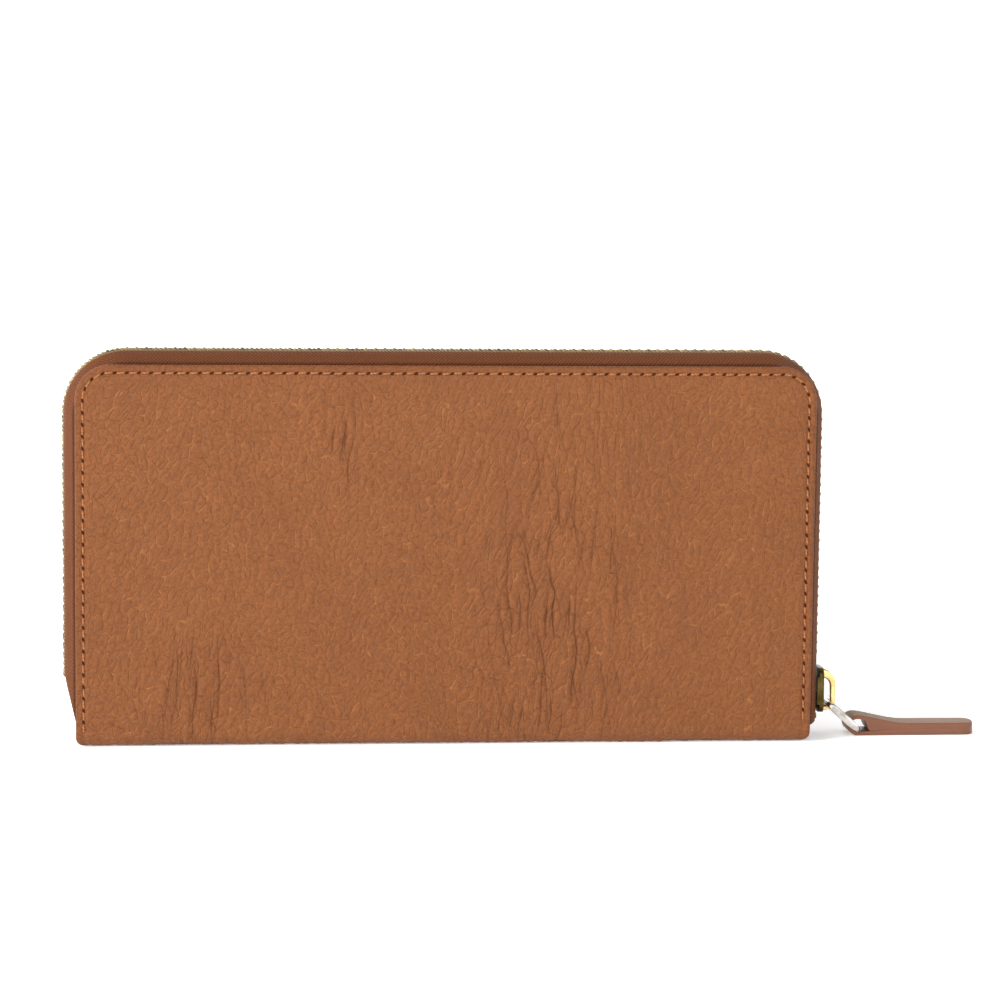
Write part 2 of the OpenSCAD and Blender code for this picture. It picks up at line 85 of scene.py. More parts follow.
# Sizes read from the frame
cover_low, cover_high = node_box("front_leather")
tape_low, tape_high = node_box("front_tape")
teeth_high = node_box("front_teeth")[1]
stop_low = node_box("front_stops")[0]
HALF_W = cover_high[0]
PANEL_H = cover_high[2]
HALF_T = -cover_low[1]
FOLD_R = cover_low[2]
LEATHER_IN = -cover_high[1]
LEATHER_T = HALF_T - LEATHER_IN
SPINE_HALF = HALF_T - FOLD_R
TAPE_RISE = tape_high[2] - PANEL_H
BEAD_GAP = -tape_high[1]
TAPE_END = tape_low[2]
TOOTH_OUT = teeth_high[2] - PANEL_H

# Sizes of the design that no box shows
COVER_R = 9.0
SPINE_END_R = 2.0
ZIP_R = 13.0
TAPE_T = 0.6
FLANGE_W = 6.0
TAPE_SHOULDER = 4.9
ALONG_STEP = 0.9
CORD_R = 0.42
CORD_OUT = 1.75
STITCH_INSET = 2.0
STITCH_PITCH = 3.05
GROOVE_DEPTH = 0.30
GROOVE_W = 0.55
ROLLED_EDGE = 0.5
HIDE_STEP = 0.45
SPINE_STEP = 0.6
LEAF_STEP = 1.6
SPINE_SEED = 61
SWAY_SEED = 5
DENT_SEED = 31
TOOTH_PITCH = 2.45
TOOTH_H = 2.0
STOP_L = 1.8
TAIL_TOP = 16.8
TAIL_LEAN = math.radians(13)

# ---- meshes


def linked(name, data):
    """A new object in the scene."""
    made = bpy.data.objects.new(name, data)
    bpy.context.scene.collection.objects.link(made)
    return made


def new_piece(name, points, faces, body=None, slot=None, material=None, nodes=(),
              smooth=35, layers=None, floats=None):
    """A mesh object from points in millimetres, with its faces turned outward."""
    mesh = bpy.data.meshes.new(name)
    mesh.from_pydata((points * MM).tolist(), [], faces)
    loops = np.zeros(len(mesh.loops), np.int32)
    mesh.loops.foreach_get("vertex_index", loops)
    for layer, coords in (layers or {}).items():
        data = mesh.uv_layers.new(name=layer).data
        data.foreach_set("uv", coords[loops].astype(np.float32).ravel())
    for key, values in (floats or {}).items():
        data = mesh.attributes.new(key, "FLOAT", "POINT").data
        data.foreach_set("value", values.astype(np.float32))
    turn_outward(mesh)
    mesh.shade_smooth()
    mesh.set_sharp_from_angle(angle=math.radians(smooth))
    piece = linked(name, mesh)
    if material:
        mesh.materials.append(material)
    if nodes:
        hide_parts(*nodes)
    if body:
        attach(piece, body)
    return piece


def turn_outward(mesh):
    """Flips a closed mesh whose volume comes out negative."""
    mesh.calc_loop_triangles()
    corners = np.zeros(len(mesh.loop_triangles) * 3, np.int32)
    mesh.loop_triangles.foreach_get("vertices", corners)
    places = np.zeros(len(mesh.vertices) * 3, np.float32)
    mesh.vertices.foreach_get("co", places)
    a, b, c = places.reshape(-1, 3).astype(float)[corners.reshape(-1, 3).T]
    if (a * np.cross(b, c)).sum() < 0:
        mesh.flip_normals()


def loft_faces(rings, count, closed=False, start=0):
    """Faces of a tube through rings of count points each, capped unless it is closed."""
    faces = []
    steps = rings if closed else rings - 1
    for i in range(steps):
        a = start + i * count
        b = start + (i + 1) % rings * count
        for k in range(count):
            n = (k + 1) % count
            faces.append((a + k, a + n, b + n, b + k))
    if not closed:
        last = start + (rings - 1) * count
        faces.append(tuple(range(start + count - 1, start - 1, -1)))
        faces.append(tuple(range(last, last + count)))
    return faces


def copies(points, faces, times):
    """Faces for a number of copies of one small part, whose points follow each other."""
    size = len(points)
    return [tuple(v + i * size for v in face) for i in range(times) for face in faces]


def unit(v):
    return v / np.linalg.norm(v, axis=-1, keepdims=True)


def circle(count):
    """Angles of places spread round a circle."""
    return np.arange(count) / count * 2 * math.pi


def rounded_rectangle(half_a, half_b, radius, corner_steps=4):
    """Closed outline of a rectangle with round corners, as rows of two numbers."""
    places = []
    for k, (sa, sb) in enumerate([(1, 1), (-1, 1), (-1, -1), (1, -1)]):
        for step in range(corner_steps + 1):
            angle = math.pi / 2 * (k + step / corner_steps)
            places.append((sa * (half_a - radius) + radius * math.cos(angle),
                    sb * (half_b - radius) + radius * math.sin(angle)))
    return np.array(places)


def rim(s, half_w, height, radius, foot):
    """Places, outward directions and forward directions at distances s along the line that
    runs up the left side, over the top and down the right side of a cover."""
    s = np.asarray(s, float)
    leg = height - radius - foot
    arc = radius * math.pi / 2
    top = 2 * (half_w - radius)
    turn = (np.clip((s - leg) / arc, 0, 1) + np.clip((s - leg - arc - top) / arc, 0, 1))
    turn = turn * math.pi / 2
    down = np.maximum(s - leg - 2 * arc - top, 0)
    centre_x = radius - half_w + np.clip(s - leg - arc, 0, top)
    centre_z = foot + np.clip(s, None, leg) - down
    outward = np.stack([-np.cos(turn), np.sin(turn)], -1)
    forward = np.stack([np.sin(turn), np.cos(turn)], -1)
    return np.stack([centre_x, centre_z], -1) + radius * outward, outward, forward


def rim_length(half_w, height, radius, foot):
    return 2 * (height - radius - foot) + math.pi * radius + 2 * (half_w - radius)


def in_half(side):
    """Puts a cover's flat x, z and w into the frame."""
    return lambda x, z, w: np.stack([x, SIDES[side] * w, z], -1)


def in_frame(flat, w, side):
    """Points of a half, as rows, from grids of flat places and of w."""
    w = np.broadcast_to(w, flat.shape[:2])
    return in_half(side)(flat[..., 0], flat[..., 1], w).reshape(-1, 3)


def grid_layer(along, across):
    """Layer coordinates of a loft: how far along it, and how far round its section."""
    return np.stack(np.meshgrid(along, across, indexing="ij"), -1).reshape(-1, 2)


def along_rim(part, distances, line, side):
    """Copies of a small part, given as rows (forward, outward, w), set along a rim line."""
    places, outward, forward = rim(distances, *line)
    flat = (places[:, None] + forward[:, None] * part[None, :, 0, None]
            + outward[:, None] * part[None, :, 1, None])
    return in_frame(flat, part[None, :, 2], side)


def smooth_step(value, low, high):
    t = np.clip((value - low) / (high - low), 0, 1)
    return t * t * (3 - 2 * t)


def smooth_noise(x, y, size, seed):
    """Seeded value noise with features of about size, from -1 to 1."""
    table = np.random.default_rng(seed).uniform(-1, 1, (64, 64))
    gx, gy = x / size, y / size
    ix, iy = np.floor(gx).astype(int), np.floor(gy).astype(int)
    fx, fy = smooth_step(gx - ix, 0, 1), smooth_step(gy - iy, 0, 1)
    low, high = [table[ix % 64, row % 64] * (1 - fx) + table[(ix + 1) % 64, row % 64] * fx
            for row in (iy, iy + 1)]
    return low * (1 - fy) + high * fy


# ---- leather grain

CELL_RANDOMNESS = 0.92
CELL_W = 2.1
CELL_H = 2.5
GRAIN_SLANT = 0.28
# Where the hide was folded its cells are long and it is creased: x, z, half width, half height,
# stretch of the cells, and strength of the creases
CREASED = [
    (28, 34, 19, 40, 0.72, 1.0),
    (36, 84, 26, 16, 0.60, 0.12),
    (-64, 15, 15, 18, 0.62, 0.8),
    (-28, 78, 6, 17, 0.45, 0.7),
    (78, 30, 12, 26, 0.40, 0.12),
    (2, 70, 8, 16, 0.45, 0.15),
]
# Two families of creases that run into each other: distance between lines, and lean
CREASES = [(2.7, 0.08), (4.1, -0.14)]


def cell_edges(coords):
    """Distance from each place to the nearest cell edge, as the Voronoi texture gives it."""
    mesh = bpy.data.meshes.new("probe")
    mesh.vertices.add(len(coords))
    places = np.zeros((len(coords), 3), np.float32)
    places[:, :2] = coords
    mesh.vertices.foreach_set("co", places.ravel())
    probe = linked("probe", mesh)
    tree = bpy.data.node_groups.new("probe", "GeometryNodeTree")
    for way in ("INPUT", "OUTPUT"):
        tree.interface.new_socket("Geometry", in_out=way, socket_type="NodeSocketGeometry")
    source, target, position, cells, store = [tree.nodes.new(kind) for kind in (
        "NodeGroupInput", "NodeGroupOutput", "GeometryNodeInputPosition",
        "ShaderNodeTexVoronoi", "GeometryNodeStoreNamedAttribute")]
    cells.voronoi_dimensions = "2D"
    cells.feature = "DISTANCE_TO_EDGE"
    cells.inputs["Scale"].default_value = 1.0
    cells.inputs["Randomness"].default_value = CELL_RANDOMNESS
    store.inputs["Name"].default_value = "edge"
    tree.links.new(source.outputs[0], store.inputs["Geometry"])
    tree.links.new(position.outputs[0], cells.inputs["Vector"])
    tree.links.new(cells.outputs["Distance"], store.inputs["Value"])
    tree.links.new(store.outputs[0], target.inputs[0])
    probe.modifiers.new("probe", "NODES").node_group = tree
    shown = probe.evaluated_get(bpy.context.evaluated_depsgraph_get())
    found = np.zeros(len(coords), np.float32)
    shown.data.attributes["edge"].data.foreach_get("value", found)
    bpy.data.objects.remove(probe)
    bpy.data.meshes.remove(mesh)
    bpy.data.node_groups.remove(tree)
    return found.astype(float)


def grain(x, z, seed):
    """Cell coordinates and the strength of the creasing over a hide."""
    p = (x - GRAIN_SLANT * (z - PANEL_H / 2)) / CELL_W
    q = z / CELL_H
    folded = np.zeros_like(x)
    for cx, cz, wide, high, stretch, depth in CREASED:
        across = np.exp(-((x - cx) / wide) ** 2)
        q = q - stretch * across * high / CELL_H * np.tanh((z - cz) / high)
        folded += depth * across * np.exp(-((z - cz) / high) ** 2)
    for size, reach in ((8, 0.5), (3.5, 0.3), (1.3, 0.16)):
        p = p + reach * smooth_noise(x, z, size, seed)
        q = q + reach * smooth_noise(x, z, size, seed + 1)
        seed += 2
    return np.stack([p, q], -1) + 200, np.clip(folded, 0, 1)


def creases(x, z, folded, seed):
    """Two coordinates that are whole numbers on the crease lines, how strong the line nearest to
    each place is in each family, and the height of the folds between the lines."""
    lines, strengths, height = [], [], 0
    for spacing, lean in CREASES:
        line = x - lean * (z - PANEL_H / 2)
        for size, reach in ((15, 2.6), (5, 0.9), (1.9, 0.28)):
            line = line + reach * smooth_noise(x, z * 0.6, size, seed)
            seed += 1
        line = line / spacing
        fade = smooth_noise(np.round(line) * 63, z, 9, seed)
        strength = folded * smooth_step(fade, -0.3, 0.6)
        away = np.abs(line - np.round(line)) * spacing
        height = height - strength * (0.16 * np.exp(-(away / 0.4) ** 2)
                + 0.10 * np.cos(2 * math.pi * line))
        lines.append(line)
        strengths.append(strength)
    return lines, strengths, height


# ---- sheets


def edge_distance(x, z, half_w, top, radius):
    """Distance inside a cover's outline, which has no lower edge."""
    in_x, in_z = np.abs(x) - (half_w - radius), z - (top - radius)
    corner = radius - np.hypot(np.maximum(in_x, 0), np.maximum(in_z, 0))
    return np.where((in_x > 0) & (in_z > 0), corner, np.minimum(half_w - np.abs(x), top - z))


def sheet_grid(half_w, foot, top, radius, step):
    """Rows and columns of places over a shape with two round upper corners, closer together
    towards the edge."""
    close = np.array([0, 0.1, 0.25, 0.5])
    inner = np.linspace(close[-1] + step, half_w, max(3, round(half_w / step)))
    left = -half_w + np.concatenate([close, inner])
    share = np.concatenate([left, -left[-2::-1]]) / half_w
    straight = np.linspace(foot, top - radius, max(3, round((top - radius - foot) / step)))
    turn = np.linspace(0, math.pi / 2, max(6, round(radius * math.pi / 2 / step)))[1:]
    rows = np.concatenate([straight, top - radius + radius * np.sin(turn)])
    widths = np.concatenate([np.full(len(straight), half_w), half_w - radius + radius * np.cos(turn)])
    return share[None, :] * widths[:, None], np.repeat(rows[:, None], len(share), 1)


def closed_sheet(front, back):
    """A closed sheet from two grids: all of the front's places, the back's only at its edge.
    Gives the points, the faces, and which grid place each point came from."""
    rows, cols = front.shape[:2]
    index = np.arange(rows * cols).reshape(rows, cols)
    edge = np.zeros((rows, cols), bool)
    edge[0] = edge[-1] = edge[:, 0] = edge[:, -1] = True
    back_index = np.full((rows, cols), -1)
    back_index[edge] = rows * cols + np.arange(edge.sum())
    points = np.concatenate([front.reshape(-1, 3), back[edge]])
    quads = np.stack([index[:-1, :-1], index[:-1, 1:], index[1:, 1:], index[1:, :-1]], -1)
    faces = quads.reshape(-1, 4).tolist()
    for cut in (np.s_[:, 0], np.s_[::-1, -1], np.s_[0, ::-1], np.s_[-1]):
        line, inner = index[cut], back_index[cut]
        faces += np.stack([line[:-1], line[1:], inner[1:], inner[:-1]], -1).tolist()
    left, right = back_index[:, 0], back_index[:, -1]
    faces += np.stack([left[1:-2], left[2:-1], right[2:-1], right[1:-2]], -1).tolist()
    faces.append(back_index[0, ::-1].tolist() + [int(left[1]), int(right[1])])
    faces.append([int(left[-2])] + back_index[-1].tolist() + [int(right[-2])])
    source = np.concatenate([index.ravel(), index[edge]])
    return points, faces, source


def edge_drop(distance, radius):
    """How far a rounded edge lies below the face."""
    inside = np.clip(radius - distance, 0, radius)
    return radius - np.sqrt(radius ** 2 - inside ** 2)


def leaf(name, outline, w_face, w_back, to_space, relief=None, step=2.0, rounding=0.15, **kind):
    """A flat leather or cloth piece with rounded edges. outline is half width, foot, top and
    corner radius; w_face is the side that is seen."""
    half_w, foot, top, radius = outline
    x, z = sheet_grid(half_w, foot, top, radius, step)
    inside = np.minimum(edge_distance(x, z, half_w, top, radius), z - foot)
    towards = math.copysign(1, w_face - w_back)
    lift = -edge_drop(inside, rounding)
    if relief:
        lift = lift + relief(x, z, inside)
    front = to_space(x, z, w_face + towards * lift)
    back = to_space(x, z, np.full_like(x, w_back))
    points, faces, source = closed_sheet(front, back)
    flat = np.stack([x, z], -1).reshape(-1, 2)[source]
    new_piece(name, points, faces, layers={"flat": flat}, **kind)


def end_taper(z):
    """Share of the full width at a height, for the round corners beside the spine."""
    return 1 - edge_drop(z, SPINE_END_R) / HALF_W


def cover_profile(s):
    """Distance w, height and outward direction along a cover's skin, from the edge of the
    spine round the fold and up."""
    arc = FOLD_R * math.pi / 2
    turn = np.clip(s / FOLD_R, 0, math.pi / 2)
    w = SPINE_HALF + FOLD_R * np.sin(turn)
    z = FOLD_R * (1 - np.cos(turn)) + np.maximum(s - arc, 0)
    return w, z, np.sin(turn), -np.cos(turn)


def hide_relief(x, s, inside, seed):
    """Height of the pebbled grain, the creases, the stitch line's hollow and the rolled edge,
    with the coordinates and strengths that the leather's colour follows."""
    coords, folded = grain(x, s, seed)
    edges = cell_edges(coords.reshape(-1, 2)).reshape(x.shape)
    lines, strengths, folds = creases(x, s, folded * smooth_step(inside, 1, 5), seed + 60)
    calm = 0.3 + 0.7 * smooth_step(inside, 2.6, 8)
    height = folds + calm * 0.18 * (smooth_step(edges, -0.05, 0.45) - 1)
    height += calm * 0.08 * smooth_noise(x, s, 1.2, seed + 20)
    height += 0.16 * smooth_step(inside, 5, 20) * smooth_noise(x, s, 17, seed + 7)
    height -= GROOVE_DEPTH * np.exp(-((inside - STITCH_INSET) / GROOVE_W) ** 2)
    height -= edge_drop(inside, ROLLED_EDGE)
    return height, coords, np.stack(lines, -1), strengths


def hide(name, front, back, material, nodes, layers, floats, body=None):
    """A piece of the outer leather from two grids, with the values its colour follows."""
    points, faces, source = closed_sheet(front, back)
    layers = {key: value.reshape(-1, 2)[source] for key, value in layers.items()}
    floats = {key: value.ravel()[source] for key, value in floats.items()}
    return new_piece(name, points, faces, body, "cover_leather", material, nodes, 60, layers, floats)


def cover_skin(side, seed, material):
    """The leather of one cover, with the fold that joins it to the spine."""
    length = FOLD_R * math.pi / 2 + PANEL_H - FOLD_R
    x, s = sheet_grid(HALF_W, 0, length, COVER_R, HIDE_STEP)
    inside = edge_distance(x, s, HALF_W, length, COVER_R)
    height, coords, lines, strengths = hide_relief(x, s, inside, seed)
    w, z, out_w, out_z = cover_profile(s)
    to_space = in_half(side)
    wide = x * end_taper(z)
    skin = hide(f"{side}_cover_skin", to_space(wide, z + out_z * height, w + out_w * height),
                to_space(wide, z - out_z * LEATHER_T, w - out_w * LEATHER_T), material,
                (f"{side}_leather", f"{side}_fold"),
                {"flat": np.stack([x, s], -1), "grain": coords, "creases": lines},
                {"crease_0": strengths[0], "crease_1": strengths[1], "inside": inside})
    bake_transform(skin)


def spine_skin(material):
    """The leather under the wallet, which meets the two folds edge to edge."""
    x, s = sheet_grid(HALF_W, -SPINE_HALF, SPINE_HALF, 0.3, SPINE_STEP)
    coords, _ = grain(x, s + PANEL_H / 2, SPINE_SEED)
    edges = cell_edges(coords.reshape(-1, 2)).reshape(x.shape)
    inside = HALF_W - np.abs(x)
    lift = 0.12 * (1 - smooth_step(edges, 0, 0.3)) + edge_drop(inside, ROLLED_EDGE)
    wide, none, flat = x * end_taper(0), np.zeros_like(x), np.stack([x, s], -1)
    hide("spine_skin", np.stack([wide, s, lift], -1), np.stack([wide, s, none + LEATHER_T], -1),
         material, ("spine_leather",), {"flat": flat, "grain": coords, "creases": flat},
         {"crease_0": none, "crease_1": none, "inside": inside}, "root")


# ---- stitches

THREAD_R = 0.2
THREAD_LOW = 0.27
STITCH_GAP = 0.85
HOLE_L = 0.56
HOLE_W = 0.34


def stitch_part(length):
    """One stitch: a thread that rises out of one hole and dips into the next."""
    rings, turn = 11, circle(8)
    points = []
    for t in np.linspace(-1, 1, rings):
        radius = THREAD_R * math.sqrt(max(1 - t ** 4, 0.02)) * (1 + 0.08 * math.cos(t * 14))
        height = 0.24 * math.cos(t * math.pi / 2) - 0.16
        points += [(t * length / 2, 0.07 * t + radius * math.cos(a),
                height + 0.85 * radius * math.sin(a)) for a in turn]
    return np.array(points), loft_faces(rings, len(turn))


def hole_shade_part():
    """Painted shade in the mouth of a needle hole: a thin dished disc."""
    turn = circle(12)
    points = [(scale * HOLE_L * math.cos(a),
               scale * HOLE_W * math.sin(a) + 0.3 * scale * HOLE_L * math.cos(a), height)
              for scale, height in ((0.5, -0.05), (1.0, 0.0), (1.0, -0.10)) for a in turn]
    return np.array(points), loft_faces(3, len(turn))


def cover_stitches(side, thread, dark):
    line = (HALF_W - STITCH_INSET, PANEL_H - STITCH_INSET, COVER_R - STITCH_INSET,
            FOLD_R + STITCH_PITCH / 2)
    count = int(rim_length(*line) / STITCH_PITCH)
    surface = HALF_T - THREAD_LOW
    part, faces = stitch_part(STITCH_PITCH - STITCH_GAP)
    part = part + [0, 0, surface + 0.1]
    points = along_rim(part, np.arange(count + 1) * STITCH_PITCH, line, side)
    rng = np.random.default_rng(SWAY_SEED)
    sway = np.repeat(rng.normal(0, 0.05, (count + 1, 3)), len(part), 0)
    new_piece(f"{side}_stitches", points + sway, copies(part, faces, count + 1),
              f"{side}_half", "thread", thread, (f"{side}_stitching",), 60)
    # Dark discs of painted shade in the needle holes.
    hole, hole_faces = hole_shade_part()
    hole = hole + [0, 0, surface + 0.09]
    points = along_rim(hole, (np.arange(count) + 0.5) * STITCH_PITCH, line, side)
    new_piece(f"{side}_painted_hole_shades", points, copies(hole, hole_faces, count),
              f"{side}_half", "thread", dark)


# ---- main zip


def tape_section(bend=8):
    """Section of the tape, as rows of outward distance and w: under the leather, up a slope,
    and level between the slider's plates to the teeth, then back along its inside."""
    faces = []
    for inward in (0, TAPE_T):
        level = TAPE_RISE - inward
        corners = [(-FLANGE_W, LEATHER_IN - inward), (0.3 - 0.4 * inward, LEATHER_IN - inward),
                (level, TAPE_SHOULDER - 0.3 * inward), (level, BEAD_GAP)]
        line = rounded_path(corners, [1.0, 2.2], bend)
        between = np.linspace(line[bend], line[bend + 1], 6)[1:-1]
        faces.append(np.concatenate([line[:bend + 1], between, line[bend + 1:]]))
    return np.concatenate([faces[0], faces[1][::-1]])


def tape_length(section):
    """How far along the tape's width each point of the section lies."""
    half = len(section) // 2
    step = np.hypot(*np.diff(section[:half], axis=0).T)
    along = np.concatenate([[0], np.cumsum(step)])
    return np.concatenate([along, along[::-1]])


def turned_in(places):
    """How far the left end of the tape turns in between the covers."""
    below = np.maximum(TAIL_TOP - places[:, 1], 0) * (places[:, 0] < 0)
    return below * math.tan(TAIL_LEAN)


def zip_tape(side, material):
    line = (HALF_W, PANEL_H, ZIP_R, TAPE_END)
    distances = np.arange(0, rim_length(*line), ALONG_STEP)
    section = tape_section()
    places, outward, _ = rim(distances, *line)
    pull = turned_in(places)
    out = np.minimum(section[None, :, 0], np.maximum(TAPE_RISE - pull, -1)[:, None]
            - (TAPE_RISE - section[None, :, 0]) * 0.2 * (pull[:, None] > 0))
    flat = places[:, None] + outward[:, None] * out[..., None]
    new_piece(f"{side}_zip_tape", in_frame(flat, section[None, :, 1], side),
              loft_faces(len(distances), len(section)), f"{side}_half", "zip_tape", material,
              (f"{side}_tape",), 50, {"flat": grid_layer(distances, tape_length(section))})


def zip_cord(side, material):
    """The light cord woven into the tape's edge, which the teeth are clamped on."""
    line = (HALF_W + TAPE_RISE, PANEL_H + TAPE_RISE, ZIP_R + TAPE_RISE, TAIL_TOP)
    end = rim_length(*line) - (TAPE_END - TAIL_TOP)
    distances = np.arange(0, end, ALONG_STEP)
    turn = circle(10)
    places, outward, _ = rim(distances, *line)
    out = CORD_R * np.cos(turn) - 0.1
    w = BEAD_GAP + CORD_OUT + CORD_R * np.sin(turn)
    flat = places[:, None] + outward[:, None] * out[None, :, None]
    new_piece(f"{side}_zip_cord", in_frame(flat, w[None], side),
              loft_faces(len(distances), len(turn)), f"{side}_half", "zip_tape", material, (), 60,
              {"flat": grid_layer(distances, turn)})


def tooth_part(profile):
    """A metal tooth through sections given as rows of w, half height, half thickness."""
    ring = rounded_rectangle(1, 1, 0.45, 2)
    points = [(a * half_t, b * half_h, w) for w, half_h, half_t in profile for a, b in ring]
    return np.array(points), loft_faces(len(profile), len(ring))


TOOTH = [(2.4, 0.62, 0.36), (2.25, 0.88, 0.44), (1.7, 0.98, 0.47), (0.9, 1.0, 0.47),
         (0.45, 0.86, 0.42), (0.1, 0.80, 0.40), (-0.35, 0.86, 0.44), (-0.68, 0.72, 0.38),
         (-0.8, 0.45, 0.22)]
STOP = [(2.4, 0.7, 0.62), (2.2, 0.95, 0.82), (1.3, 1.0, 0.9), (0.65, 0.95, 0.85), (0.45, 0.7, 0.65)]


def zip_teeth(side, offset, material):
    tooth_mid = TOOTH_OUT - TOOTH_H / 2
    first = TAIL_TOP + STOP_L + 0.95
    line = (HALF_W + tooth_mid, PANEL_H + tooth_mid, ZIP_R + tooth_mid, first)
    slider_high = node_box("slider_body")[1]
    end = rim_length(*line) + first - slider_high[2] - TOOTH_PITCH
    count = int(end / TOOTH_PITCH)
    part, faces = tooth_part(TOOTH)
    points = along_rim(part, (np.arange(count) + offset) * TOOTH_PITCH, line, side)
    new_piece(f"{side}_zip_teeth", points, copies(part, faces, count), f"{side}_half",
              "zip_metal", material, (f"{side}_teeth",), 50)
    part, faces = tooth_part(STOP)
    line = (*line[:3], 0)
    ends = [TAIL_TOP + STOP_L / 2, rim_length(*line) - (stop_low[2] + STOP_L / 2)]
    points = along_rim(part, np.array(ends), line, side)
    new_piece(f"{side}_zip_stops", points, copies(part, faces, 2), f"{side}_half",
              "zip_metal", material, (f"{side}_stops",), 50)


# ---- slider and pull


def rounded_path(points, radii, steps=8):
    """A line through corner points, with each inner corner rounded to its radius."""
    path = [points[0]]
    for before, corner, after, radius in zip(points, points[1:], points[2:], radii):
        before, corner, after = map(np.array, (before, corner, after))
        a, b = unit(before - corner), unit(after - corner)
        for t in np.linspace(0, math.pi / 2, steps):
            path.append(corner + radius * (a * (1 - math.sin(t)) + b * (1 - math.cos(t))))
    path.append(points[-1])
    return np.array(path, float)


def slider_arch(material):
    """The D-shaped arch on the slider's outer plate, that the ring hangs in."""
    low, high = node_box("slider_crown")
    band, foot, head, sink = 1.4, 1.3, 2.4, 0.4
    height, length = high[0] - low[0], high[2] - low[2]
    outer = rounded_path([(-sink, 0), (height, 0), (height, length), (-sink, length)], [2.8, 4.2])
    inner = rounded_path([(-sink, foot), (height - band, foot),
            (height - band, length - head), (-sink, length - head)], [1.1, 2.4])
    ring = rounded_rectangle(0.5, (high[1] - low[1]) / 2, 0.42, 4)
    points = []
    for a, b in zip(inner, outer):
        for share, y in ring:
            across = a + (b - a) * (share + 0.5)
            points.append((low[0] + across[0], y, low[2] + across[1]))
    new_piece("slider_arch", np.array(points), loft_faces(len(inner), len(ring)), "slider",
              "slider_metal", material, ("slider_crown",), 50)


def pull_link(material):
    """The link between the arch and the strap: flat side bars, round cross bars."""
    top, bottom = joint_place("ring_swing"), joint_place("strap_swing")
    reach = bottom - top
    length = np.linalg.norm(reach)
    reach = reach / length
    normal = np.array([-reach[2], 0, reach[0]])
    half_w = node_box("pull_ring")[1][1] - 0.6
    corners = [(length / 2, -half_w), (0, -half_w), (0, half_w), (length, half_w),
               (length, -half_w), (length / 2, -half_w)]
    path = rounded_path(corners, [1.0] * 4, 10)
    steps = np.linspace(0, 1, 5)[:-1]
    fine = np.array([a + (b - a) * t for a, b in zip(path, path[1:]) for t in steps])
    step = unit(np.roll(fine, -1, 0) - np.roll(fine, 1, 0))
    side = np.stack([step[:, 1], -step[:, 0]], -1)
    on_bar = smooth_step(np.minimum(fine[:, 0], length - fine[:, 0]), 0.1, 1.6)
    ring = rounded_rectangle(1, 1, 0.62, 4)
    points = []
    for (a, y), (na, ny), bar in zip(fine, side, on_bar):
        half_in, half_up = 0.7 - 0.1 * bar, 0.7 + 0.3 * bar
        for u, v in ring:
            place = top + reach * (a + na * u * half_in) + normal * v * half_up
            points.append(place + [0, y + ny * u * half_in, 0])
    new_piece("pull_link", np.array(points), loft_faces(len(fine), len(ring), closed=True),
              "ring", "ring_metal", material, ("pull_ring",), 50)


def strap_path():
    """Outside of the folded strap, from one tip under the other, round the link and back, and
    the thickness of its leather there."""
    low, high = node_box("pull_strap")
    axis = joint_place("strap_swing")
    length, radius, flat_t, loop_t = high[0] - axis[0], axis[0] - low[0], 3.2, 1.0
    slope = 11.0
    rise = flat_t - radius
    lean = math.atan2(rise, slope) + math.acos(radius / math.hypot(slope, rise))
    under = np.linspace(length, 0, 70)[:-1]
    turn = np.linspace(-math.pi / 2, lean - 2 * math.pi, 44)
    down = np.linspace(0, 1, 18)[1:-1]
    tangent = np.array([radius * math.cos(lean), radius + radius * math.sin(lean)])
    over = np.linspace(slope, length, 60)
    path = [(x, 0.0) for x in under]
    path += [(radius * math.cos(a), radius + radius * math.sin(a)) for a in turn]
    path += [tuple(tangent + (np.array([slope, flat_t]) - tangent) * t) for t in down]
    path += [(x, flat_t) for x in over]
    path = np.array(path)
    # Smooths away the kinks, from just after the loop's start to the other tip
    kept = len(under) + 3
    for _ in range(30):
        path[kept:-2] = (path[kept - 1:-3] + path[kept:-2] + path[kept + 1:-1]) / 3
    thick = loop_t + (flat_t / 2 + 0.03 - loop_t) * smooth_step(path[:, 0], 1, slope + 1)
    upper = np.arange(len(path)) > len(under) + len(turn)
    filled = (path[:, 1] - thick + 0.08) * upper
    thick = thick + np.maximum(filled - thick, 0) * smooth_step(path[:, 0], 2.0, 4.5)
    return path + [axis[0], 0], thick, high[0]


def strap_section(half_w, thick):
    """Section of the strap's leather: outer corners rounded, inner ones nearly sharp."""
    outer = rounded_rectangle(half_w, thick / 2, 0.32, 3)
    inner = rounded_rectangle(half_w, thick / 2, 0.05, 3)
    return np.where(outer[:, 1:] > 0, outer, inner)


def pull_strap(material):
    path, thick, tip = strap_path()
    half_w, tip_r = node_box("pull_strap")[1][1], 2.6
    step = unit(np.gradient(path, axis=0))
    normal = np.stack([-step[:, 1], step[:, 0]], -1)
    back = np.clip(tip_r - (tip - path[:, 0]), 0, tip_r * 0.995)
    half = half_w - tip_r + np.sqrt(tip_r ** 2 - back ** 2)
    travel = np.concatenate([[0], np.cumsum(np.hypot(*np.diff(path, axis=0).T))])
    points, flat, side_face = [], [], []
    for place, out, t, w, s in zip(path, normal, thick, half, travel):
        for u, v in strap_section(w, t):
            across = place + out * (v - t / 2)
            points.append((across[0], u, across[1]))
            flat.append((s, u + 3 * v))
            side_face.append(smooth_step(abs(u), w - 0.45, w - 0.1))
    count = len(points) // len(path)
    new_piece("folded_strap", np.array(points), loft_faces(len(path), count), "strap",
              "strap_leather", material, ("pull_strap",), 50, {"flat": np.array(flat)},
              {"side_face": np.array(side_face)})


# ---- inside


def crease_line(depth, inset):
    """Relief of a line pressed along a piece's edge."""
    return lambda x, z, inside: (-depth * np.exp(-((inside - inset) / 0.3) ** 2)
            + 0.05 * smooth_noise(x, z, 9, DENT_SEED))


